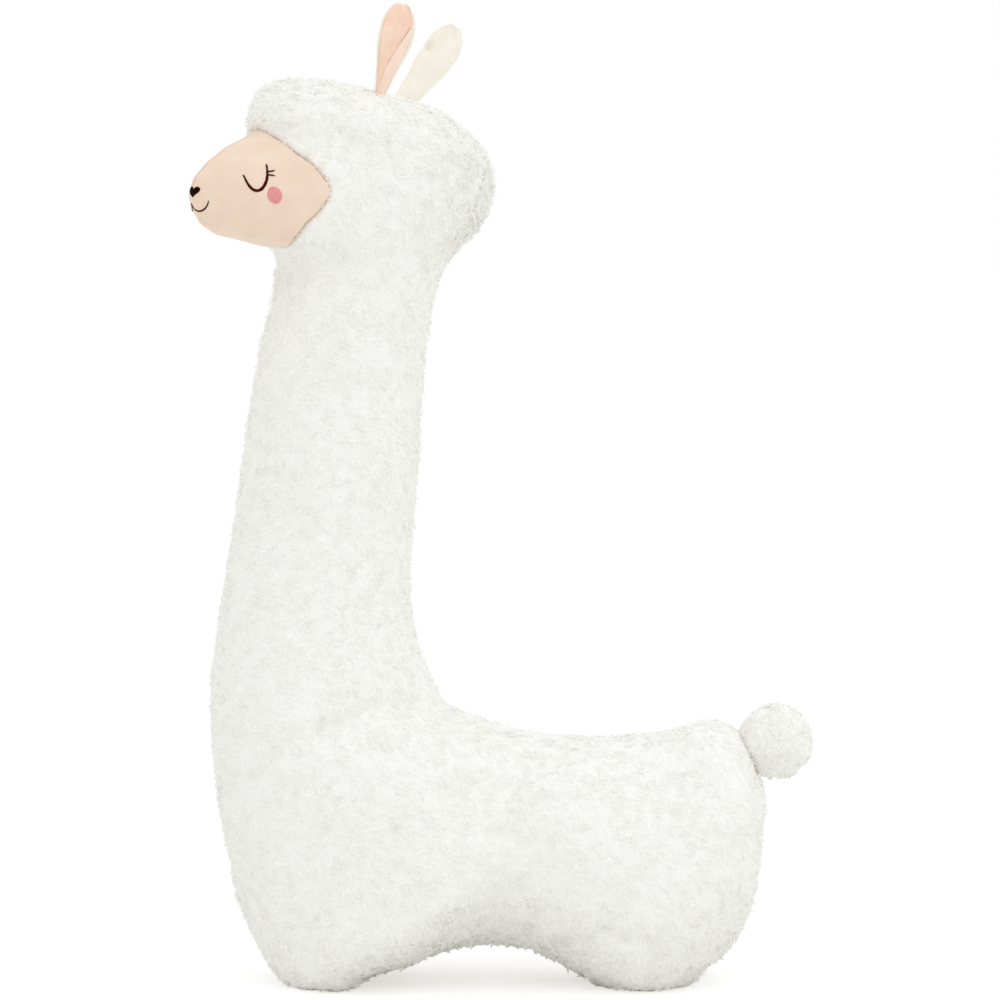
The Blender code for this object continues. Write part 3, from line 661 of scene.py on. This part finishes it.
for number, (name, region) in enumerate(regions.items()):
    carrier = newPiece(name, bodySkin.data.copy())
    allowed = (region & ~hiddenSeat & ~sole).astype(float)
    writeAttribute(carrier.data, "pile", allowed)
    writeAttribute(carrier.data, "long", longer)
    applyTree(carrier, curlsTree, {
        "Curls": curlsShelf, "Per Square Metre": pile["perSquareMetre"], "Size": pile["size"],
        "Whorl Size": pile["whorl"], "Droop": pile["droop"], "Sink": pile["sink"],
        "Row Depth": pile["rowDepth"],
        "Row Stretch": pile["headRows"] if name == "headCurls" else pile["otherRows"],
        "Seed": 11 + number})
    settled(carrier)
    smoothShaded(carrier)
    keepAboveFloor(carrier)
    finishPiece(carrier)
    print(name, sum(len(p.vertices) - 2 for p in carrier.data.polygons))
finishPiece(bodySkin, ["body"])

# Tail
print("tail")
tailSettings = {
    "voxel": 0.0035, "smoothRounds": 3, "swell": 0.0020, "pulledOut": 0.0050,
    "hillSize": 0.03, "hillDepth": 0.003, "clumpSize": 0.009, "clumpDepth": 0.004,
    "perSquareMetre": 230000, "size": 0.95, "whorl": 0.010, "droop": 0.3, "sink": -0.0010,
    "rowDepth": 0.003, "rows": (100, 100, 130),
}
tail = tailSettings
tailSkin = newPiece("tailFleece", mergedCopy("tail"), whiteFleece)
remeshed(tailSkin, tail["voxel"], tail["smoothRounds"])
subdivided(tailSkin)
tailPoints = readPoints(tailSkin.data) + tail["swell"] * readNormals(tailSkin.data)
outward = np.clip((tailPoints[:, 0] - tailPoints[:, 0].min()) / 0.025, 0, 1)
tailPoints[:, 0] += tail["pulledOut"] * outward
writePoints(tailSkin.data, tailPoints)
writeAttribute(tailSkin.data, "free", np.ones(len(tailSkin.data.vertices)))
applyTree(tailSkin, reliefTree, {
    "Hill Size": tail["hillSize"], "Hill Depth": tail["hillDepth"],
    "Clump Size": tail["clumpSize"], "Clump Depth": tail["clumpDepth"], "Seed": 8.0})
settled(tailSkin)
smoothShaded(tailSkin)
tailCurls = newPiece("tailCurls", tailSkin.data.copy())
writeAttribute(tailCurls.data, "pile", np.ones(len(tailCurls.data.vertices)))
writeAttribute(tailCurls.data, "long", np.ones(len(tailCurls.data.vertices)))
applyTree(tailCurls, curlsTree, {
    "Curls": curlsShelf, "Per Square Metre": tail["perSquareMetre"], "Size": tail["size"],
    "Whorl Size": tail["whorl"], "Droop": tail["droop"], "Sink": tail["sink"],
    "Row Depth": tail["rowDepth"], "Row Stretch": tail["rows"], "Seed": 31})
settled(tailCurls)
smoothShaded(tailCurls)
finishPiece(tailCurls)
finishPiece(tailSkin, ["tail"])
clearShelf(curlsShelf)

# Face
print("face")
faceSettings = {"voxel": 0.0016, "smoothRounds": 3, "openRounds": 45, "grooveReach": 0.006,
                "grooveDepth": 0.0002, "puckerDepth": 0.0006, "seamWidth": 0.0007, "seamDepth": 0.0006}
facePlumps = [
    {"place": (-0.288, 0.826), "reach": 0.028, "height": -0.0022},
    {"place": (-0.319, 0.788), "reach": 0.017, "height": 0.0020},
    {"place": (-0.313, 0.764), "reach": 0.012, "height": -0.0034},
]
faceSkin = newPiece("faceVelour", faceForm.data.copy(), peachVelour)
bpy.data.objects.remove(faceForm)
remeshed(faceSkin, faceSettings["voxel"], faceSettings["smoothRounds"])
facePoints = readPoints(faceSkin.data)
bodyTree = surfaceTree(frame["nodes"]["body"])
rim = np.zeros(len(facePoints))
for i, point in enumerate(facePoints):
    hit = bodyTree.find_nearest(Vector(point), faceSettings["grooveReach"])
    if hit[0] is not None:
        rim[i] = 1 - hit[3] / faceSettings["grooveReach"]

# away from its seam the velour is stretched smooth over the stuffing
openPart = faceSkin.vertex_groups.new(name="openPart")
for i in np.flatnonzero(rim < 1):
    openPart.add([int(i)], 1 - float(rim[i]), "REPLACE")
ease = faceSkin.modifiers.new("ease", "SMOOTH")
ease.factor = 0.5
ease.iterations = faceSettings["openRounds"]
ease.vertex_group = "openPart"
settled(faceSkin)
faceSkin.vertex_groups.clear()
facePoints = readPoints(faceSkin.data)
faceNormals = readNormals(faceSkin.data)
facePoints += faceNormals * plumpHeights(facePoints, facePlumps)[:, None]

# the seam along the top of the muzzle, and the puckers where the velour is sewn in, both dented; the seam
# line is darkened, and the rim and the puckers get painted shade
inverse = np.array(headFrame.inverted())
local = facePoints @ inverse[:3, :3].T + inverse[:3, 3]
onMuzzle = (local[:, 2] > 0.012) * (local[:, 0] < -0.10)
middle = np.exp(-(local[:, 1] / faceSettings["seamWidth"]) ** 2) * onMuzzle
pucker = np.sin(local[:, 2] * 620 + 1.3) * np.sin(local[:, 0] * 410 + local[:, 2] * 150)
pucker = np.clip(pucker * 1.6 - 0.7, 0, 1) * np.clip(rim * 1.5 - 0.5, 0, 1)
groove = faceSettings["grooveDepth"] * rim ** 2 + faceSettings["puckerDepth"] * pucker
facePoints -= faceNormals * groove[:, None]
facePoints -= faceNormals * (faceSettings["seamDepth"] * middle)[:, None]
writePoints(faceSkin.data, facePoints)
# the muzzle's seam line darkened, and painted shade at the rim and in the puckers
seamShade = 0.75 * middle + 0.04 * np.clip(rim * 1.6 - 0.8, 0, 1) + 0.40 * pucker
writeAttribute(faceSkin.data, "seamShade", np.clip(seamShade, 0, 1))
smoothShaded(faceSkin)
finishPiece(faceSkin, ["face"])
faceSurface = surfaceTree(faceSkin)

# Embroidery
print("embroidery")

threadSettings = {"radius": 0.00024, "spacing": 0.00040, "lift": 0.00055, "sides": 5, "slant": 0.25}
turnOnly = headFrame.to_3x3()


def onFace(across, up, height, view):
    # a point above the velour, from two distances seen from the side (-1, 1) or the front (0)
    if view == 0:
        start, aim = Vector((-0.3, across, up)), Vector((1, 0, 0))
    else:
        start, aim = Vector((across, view * 0.3, up)), Vector((0, -view, 0))
    hit, normal, _, _ = faceSurface.ray_cast(headFrame @ start, turnOnly @ aim)
    return hit + normal * height


def threadTree():
    # lays a round thread along every guide line
    tree, given, result = newTree("satinThreads", {
        "Radius": "NodeSocketFloat", "Sides": "NodeSocketInt", "Thread": "NodeSocketMaterial"})
    lines = addNode(tree, "GeometryNodeMeshToCurve", links={0: given["Geometry"]})
    ring = addNode(tree, "GeometryNodeCurvePrimitiveCircle", {"mode": "RADIUS"}, {
        "Resolution": given["Sides"], "Radius": given["Radius"]})
    tube = addNode(tree, "GeometryNodeCurveToMesh", links={
        "Curve": lines.outputs[0], "Profile Curve": ring.outputs[0], "Fill Caps": True})
    smooth = addNode(tree, "GeometryNodeSetShadeSmooth", links={0: tube.outputs[0]})
    real = addNode(tree, "GeometryNodeRealizeInstances", links={0: smooth.outputs[0]})
    dressed = addNode(tree, "GeometryNodeSetMaterial", links={
        "Geometry": real.outputs[0], "Material": given["Thread"]})
    tree.links.new(dressed.outputs[0], result[0])
    return tree


satinTree = threadTree()


def threadPiece(name, guides, material, nodes):
    # every guide line becomes a thread, and all of them one piece
    verts, edges = [], []
    for guide in guides:
        for i, point in enumerate(guide):
            if i:
                edges.append((len(verts) - 1, len(verts)))
            verts.append(point)
    mesh = bpy.data.meshes.new(name)
    mesh.from_pydata(verts, edges, [])
    piece = newPiece(name, mesh)
    applyTree(piece, satinTree, {"Radius": threadSettings["radius"], "Sides": threadSettings["sides"],
                                 "Thread": material})
    settled(piece)
    return finishPiece(piece, nodes)


def stitchAcross(one, other, view, points=5):
    # one stitch between two places on the face, rising to a soft crown in its middle
    guide = []
    for i in range(points):
        share = i / (points - 1)
        spot = one.lerp(other, share)
        crown = 0.35 + 0.65 * math.sin(math.pi * share)
        guide.append(onFace(spot.x, spot.y, threadSettings["lift"] * crown - 0.0001, view))
    return guide


def satinLine(path, widths, view):
    # stitches side by side across a line, from a path of places and its width at each
    spots = [Vector(p) for p in path]
    lengths = [0.0]
    for a, b in zip(spots, spots[1:]):
        lengths.append(lengths[-1] + (b - a).length)
    count = max(2, round(lengths[-1] / threadSettings["spacing"]))
    guides = []
    for i in range(count + 1):
        at = lengths[-1] * i / count
        k = max(1, next((n for n, length in enumerate(lengths) if length >= at), len(lengths) - 1))
        share = (at - lengths[k - 1]) / max(lengths[k] - lengths[k - 1], 1e-9)
        spot = spots[k - 1].lerp(spots[k], share)
        along = (spots[k] - spots[k - 1]).normalized()
        width = widths[k - 1] + (widths[k] - widths[k - 1]) * share
        out = Vector((-along.y, along.x)) + along * threadSettings["slant"]
        jitter = 1 + 0.06 * math.sin(i * 12.9898)
        guides.append(stitchAcross(spot + out * width / 2 * jitter, spot - out * width / 2 * jitter, view))
    return guides


def satinField(outline, view, angle=0.0):
    # parallel stitches that fill a closed outline
    along, across = Vector((math.cos(angle), math.sin(angle))), Vector((-math.sin(angle), math.cos(angle)))
    spots = [Vector(p) for p in outline]
    rows = [p.dot(across) for p in spots]
    low, high = min(rows), max(rows)
    count = max(2, round((high - low) / threadSettings["spacing"]))
    guides = []
    for i in range(count):
        level = low + (high - low) * (i + 0.5) / count
        crossings = []
        for a, b in zip(spots, spots[1:] + spots[:1]):
            da, db = a.dot(across) - level, b.dot(across) - level
            if (da < 0) != (db < 0):
                crossings.append((a.lerp(b, da / (da - db))).dot(along))
        crossings.sort()
        for first, last in zip(crossings[::2], crossings[1::2]):
            if last - first > 0.0006:
                jitter = 0.00010 * math.sin(i * 7.3)
                guides.append(stitchAcross(along * (first - jitter) + across * level,
                                           along * (last + jitter) + across * level, view, 9))
    return guides


def arcPath(middle, halfWidth, halfHeight, first, last, count):
    # places along part of an oval, from one angle to another in degrees
    angles = [math.radians(first + (last - first) * i / (count - 1)) for i in range(count)]
    return [(middle[0] + halfWidth * math.cos(a), middle[1] - halfHeight * math.sin(a)) for a in angles]


def tapered(widest, end, count):
    # the widths along a stroke that narrows to both ends
    swell = [max(0.0, math.sin(math.pi * i / (count - 1))) ** 0.8 for i in range(count)]
    return [end + (widest - end) * share for share in swell]


eyeSettings = {"middle": (-0.1262, 0.0318), "halfWidth": 0.0107, "halfHeight": 0.0255, "arc": 156,
               "stroke": 0.0029, "strokeEnd": 0.0011, "upperLash": 15.5, "lowerLash": 23.5,
               "lashLength": 0.0048, "lashStroke": 0.0014}
cheekSettings = {"middle": (-0.1112, 0.0019), "halfWidth": 0.0063, "halfHeight": 0.0084, "tilt": 0.24}
noseSettings = {"middle": (-0.0035, 0.0042), "width": 0.0155, "height": 0.0110}
mouthSettings = {"lowest": (0.0075, -0.0142), "inner": (0.0072, 0.0075), "outer": (0.0120, 0.0125),
                 "corner": 170, "stroke": 0.0014, "strokeEnd": 0.0007}

for label, view in (("left", -1), ("right", 1)):
    eye = eyeSettings
    lid = arcPath(eye["middle"], eye["halfWidth"], eye["halfHeight"], 0, eye["arc"], 41)
    stitches = satinLine(lid, tapered(eye["stroke"], eye["strokeEnd"], 41), view)
    threadPiece(label + "EyelidStitches", stitches, brownThread, [label + "_eyelid"])
    for word, angle, rise in (("upper", eye["upperLash"], 0.0010), ("lower", eye["lowerLash"], -0.0010)):
        start = arcPath(eye["middle"], eye["halfWidth"], eye["halfHeight"], angle, angle + 1, 2)[0]
        lash = [(start[0] + eye["stroke"] * 0.3 + (eye["lashLength"] + eye["stroke"] * 0.2) * s,
                 start[1] + rise * s * s) for s in (0, 0.25, 0.5, 0.75, 1)]
        threadPiece(f"{label}{word.title()}LashStitches",
                    satinLine(lash, [eye["lashStroke"]] * 4 + [eye["lashStroke"] / 2], view),
                    brownThread, [f"{label}_{word}_lash"])
    cheek = cheekSettings
    oval = []
    for i in range(40):
        turn = 2 * math.pi * i / 40
        x, z = cheek["halfWidth"] * math.cos(turn), cheek["halfHeight"] * math.sin(turn)
        oval.append((cheek["middle"][0] + x * math.cos(cheek["tilt"]) - z * math.sin(cheek["tilt"]),
                     cheek["middle"][1] + x * math.sin(cheek["tilt"]) + z * math.cos(cheek["tilt"])))
    threadPiece(label + "CheekStitches", satinField(oval, view, angle=0.5), pinkThread,
                [label + "_cheek"])

heart = []
for i in range(60):
    turn = 2 * math.pi * i / 60
    rise = 13 * math.cos(turn) - 5 * math.cos(2 * turn) - 2 * math.cos(3 * turn) - math.cos(4 * turn)
    heart.append((noseSettings["middle"][0] + math.sin(turn) ** 3 * noseSettings["width"] / 2,
                  noseSettings["middle"][1] + (rise + 2.5) / 29 * noseSettings["height"]))
threadPiece("noseStitches", satinField(heart, 0), darkThread, ["nose"])

mouth = mouthSettings
lowest = Vector(mouth["lowest"])
mouthArcs = ((mouth["inner"], 0, 90), (mouth["outer"], 90, mouth["corner"]))
mouthStitches = []
for side in (-1, 1):
    # from under the nose a tight arc goes down, and a wider one rises to the corner
    halves = []
    for (halfWidth, halfHeight), first, last in mouthArcs:
        halves.append(arcPath((lowest.x, lowest.y + halfHeight), -halfWidth, halfHeight, first, last, 14))
    path = [(side * across, up) for across, up in halves[0] + halves[1][1:]]
    mouthStitches += satinLine(path, tapered(mouth["stroke"], mouth["strokeEnd"], len(path)), 0)
threadPiece("mouthStitches", mouthStitches, brownThread, ["mouth"])

# Ears
print("ears")
earSettings = {
    "length": 0.1045, "halfWidth": 0.0205, "tipHalfWidth": 0.006, "frontShare": 0.82,
    "cloth": 0.0018, "liningCloth": 0.0014, "gap": 0.0003, "hem": 0.0025,
    "tipFold": math.radians(16), "creaseRound": 0.0030, "lineWidth": 0.0007, "lineDepth": 0.0008,
    "dentAt": (0.68, -0.62), "dentReach": (0.055, 0.34), "splay": math.radians(6),
    "rows": 44, "columns": 60,
}
earPlaces = {
    "left": {"side": -1, "root": (-0.1220, -0.0331, 0.8789), "lean": math.radians(14.0),
             "rootHalfWidth": 0.0060, "rootFold": math.radians(52), "dent": 0.0},
    "right": {"side": 1, "root": (-0.1042, 0.0331, 0.8722), "lean": math.radians(35),
              "rootHalfWidth": 0.0125, "rootFold": math.radians(30), "dent": 0.0075},
}


def earPoint(up, across, place):
    # a point of the folded ear, and how far it is from the line pressed into its lining
    ear, side = earSettings, place["side"]
    share = max(up, 0.0)
    leaf = math.sin(math.pi * min(1.0, share) ** 1.9) ** 0.75 if 0 < share < 1 else 0.0
    ends = place["rootHalfWidth"] * (1 - share) + ear["tipHalfWidth"] * share
    half = (ends + (ear["halfWidth"] - ends) * leaf) * (ear["frontShare"] if across < 0 else 1.0)
    crease = half * (-0.05 + 0.70 * share)
    fold = place["rootFold"] + (ear["tipFold"] - place["rootFold"]) * share
    away = half * across - crease
    rise = math.hypot(away, ear["creaseRound"]) - ear["creaseRound"]
    point = Vector((crease + away * math.cos(fold), side * rise * math.sin(fold), up * ear["length"]))
    return point, half * (across - min(0.80, 2.1 * share - 0.90))


def earLayer(name, place, low, high, inset, material):
    # one cloth layer of the ear, from low to high above the seam surface, its edge rolled in
    ear, side = earSettings, place["side"]
    form = bmesh.new()
    grid, lines, paler = [], [], []
    top = 1 - inset / ear["length"]
    wide = 1 - inset / ear["halfWidth"]
    for row in range(ear["rows"] + 1):
        up = top * row / ear["rows"]
        line = []
        for column in range(ear["columns"] + 1):
            across = wide * (2 * column / ear["columns"] - 1)
            point, away = earPoint(up, across, place)
            wave = 0.0004 * math.sin(up * 21 + across * 3) * math.sin(across * 5 + 1)
            lines.append(math.exp(-(away / ear["lineWidth"]) ** 2) if low > 0 else 0.0)
            paler.append(min(1.0, max(0.0, away / 0.0015)))
            off = ((up - ear["dentAt"][0]) / ear["dentReach"][0],
                   (across - ear["dentAt"][1]) / ear["dentReach"][1])
            dent = place["dent"] * math.exp(-off[0] ** 2 - off[1] ** 2)
            sunk = ear["lineDepth"] * lines[-1] - dent
            line.append(form.verts.new(point + Vector((0, side * (wave - sunk), 0))))
        grid.append(line)
    for lower, upper in zip(grid, grid[1:]):
        for i in range(ear["columns"]):
            corners = (lower[i], lower[i + 1], upper[i + 1], upper[i])
            form.faces.new(corners if side < 0 else corners[::-1])
    form.normal_update()
    mesh = bpy.data.meshes.new(name)
    form.to_mesh(mesh)
    form.free()
    writeAttribute(mesh, "seamShade", np.array(lines))
    writeAttribute(mesh, "palerSide", paler)
    turn = Matrix.Rotation(place["lean"], 4, "Y") @ Matrix.Rotation(-side * ear["splay"], 4, "X")
    mesh.transform(Matrix.Translation(place["root"]) @ turn)
    piece = newPiece(name, mesh, material)
    area = sum(p.area for p in mesh.polygons)
    thick = piece.modifiers.new("thick", "SOLIDIFY")
    thick.thickness = high - low
    thick.offset = (high + low) / (high - low)
    soft = piece.modifiers.new("soft", "BEVEL")
    soft.width = (high - low) * 0.42
    soft.segments = 3
    soft.limit_method = "ANGLE"
    soft.angle_limit = math.radians(50)
    settled(piece)
    smoothShaded(piece)
    return piece, area


for label, place in earPlaces.items():
    ear = earSettings
    back, backArea = earLayer(label + "EarBack", place, -ear["cloth"] - ear["gap"] / 2, -ear["gap"] / 2,
                              0.0, creamVelour)
    finishPiece(back, [label + "_ear_back"])
    lining, liningArea = earLayer(label + "EarLining", place, ear["gap"] / 2,
                                  ear["gap"] / 2 + ear["liningCloth"], ear["hem"], liningVelour)
    finishPiece(lining, [label + "_ear_lining"])

# Camera, lights and floor
print("camera, lights and floor")

cameraSettings = {"lens": 200.0, "elevation": 4.5, "aim": (0.0, 0.0, 0.485), "away": 5.5556}
camera = bpy.data.objects.new("camera", bpy.data.cameras.new("camera"))
scene.collection.objects.link(camera)
tilt = math.radians(cameraSettings["elevation"])
back = Vector((0, -math.cos(tilt), math.sin(tilt)))
camera.location = Vector(cameraSettings["aim"]) + back * cameraSettings["away"]
camera.rotation_euler = (-back).to_track_quat("-Z", "Y").to_euler()
camera.data.lens = cameraSettings["lens"]
camera.data.sensor_width = 36
camera.data.clip_end = 60
scene.camera = camera

lightSettings = {"horizon": 0.85, "zenith": 0.19, "key": 0.40, "keyAngle": 40,
                 "keyFrom": (0.35, -0.50, 0.80), "paper": (0.92, 0.92, 0.905, 1),
                 "floorSeen": (0.44, 0.47, 0.51, 1), "floorGlow": (0.61, 0.58, 0.54, 1)}
world = bpy.data.worlds.new("lightTent")
scene.world = world
world.use_nodes = True
worldTree = world.node_tree
worldTree.nodes.clear()
ray = addNode(worldTree, "ShaderNodeLightPath")
seen = addNode(worldTree, "ShaderNodeMath", {"operation": "MAXIMUM"}, {
    0: ray.outputs["Is Camera Ray"], 1: ray.outputs["Is Glossy Ray"]})
upward = addNode(worldTree, "ShaderNodeTexCoord")
upward = addNode(worldTree, "ShaderNodeSeparateXYZ", links={0: upward.outputs["Generated"]})
upward = addNode(worldTree, "ShaderNodeMath", {"operation": "MAXIMUM"}, {0: upward.outputs[2], 1: 0.0})
upward = addNode(worldTree, "ShaderNodeMath", {"operation": "MULTIPLY_ADD"}, {
    0: upward.outputs[0], 1: lightSettings["zenith"], 2: lightSettings["horizon"]})
tent = addNode(worldTree, "ShaderNodeBackground", links={
    "Color": (1, 1, 1, 1), "Strength": upward.outputs[0]})
white = addNode(worldTree, "ShaderNodeBackground", links={"Color": (1, 1, 1, 1), "Strength": 1.0})
mixed = addNode(worldTree, "ShaderNodeMixShader", links={
    0: seen.outputs[0], 1: tent.outputs[0], 2: white.outputs[0]})
addNode(worldTree, "ShaderNodeOutputWorld", links={0: mixed.outputs[0]})

# A very large soft lamp high on the right, so broad that its shadows have no edge
lamp = bpy.data.lights.new("keyLight", "SUN")
lamp.energy = lightSettings["key"]
lamp.angle = math.radians(lightSettings["keyAngle"])
keyLight = bpy.data.objects.new("keyLight", lamp)
scene.collection.objects.link(keyLight)
keyLight.rotation_euler = (-Vector(lightSettings["keyFrom"])).to_track_quat("-Z", "Y").to_euler()

floorMesh = bpy.data.meshes.new("floor")
floorMesh.from_pydata([(-12, -12, 0), (12, -12, 0), (12, 12, 0), (-12, 12, 0)], [], [(0, 1, 2, 3)])
floor = newPiece("floor", floorMesh)
floorMaterial = bpy.data.materials.new("whiteSweep")
floorMaterial.use_nodes = True
floorTree = floorMaterial.node_tree
floorTree.nodes.clear()
ray = addNode(floorTree, "ShaderNodeLightPath")
seen = addNode(floorTree, "ShaderNodeMath", {"operation": "MAXIMUM"}, {
    0: ray.outputs["Is Camera Ray"], 1: ray.outputs["Is Glossy Ray"]})
paper = addNode(floorTree, "ShaderNodeBsdfDiffuse", links={"Color": lightSettings["paper"]})
seenPaper = addNode(floorTree, "ShaderNodeBsdfDiffuse", links={"Color": lightSettings["floorSeen"]})
glow = addNode(floorTree, "ShaderNodeEmission", links={
    "Color": lightSettings["floorGlow"], "Strength": 1.0})
bright = addNode(floorTree, "ShaderNodeAddShader", links={0: seenPaper.outputs[0], 1: glow.outputs[0]})
sweep = addNode(floorTree, "ShaderNodeMixShader", links={
    0: seen.outputs[0], 1: paper.outputs[0], 2: bright.outputs[0]})
addNode(floorTree, "ShaderNodeOutputMaterial", links={"Surface": sweep.outputs[0]})
floorMesh.materials.append(floorMaterial)
floor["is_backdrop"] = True

scene.view_settings.view_transform = "Standard"
scene.cycles.max_bounces = 24  # white fleece passes light on many times
scene.cycles.diffuse_bounces = 12
scene.cycles.transmission_bounces = 12
total = sum(len(p.vertices) - 2 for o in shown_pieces() for p in o.data.polygons)
print("triangles in all", total)
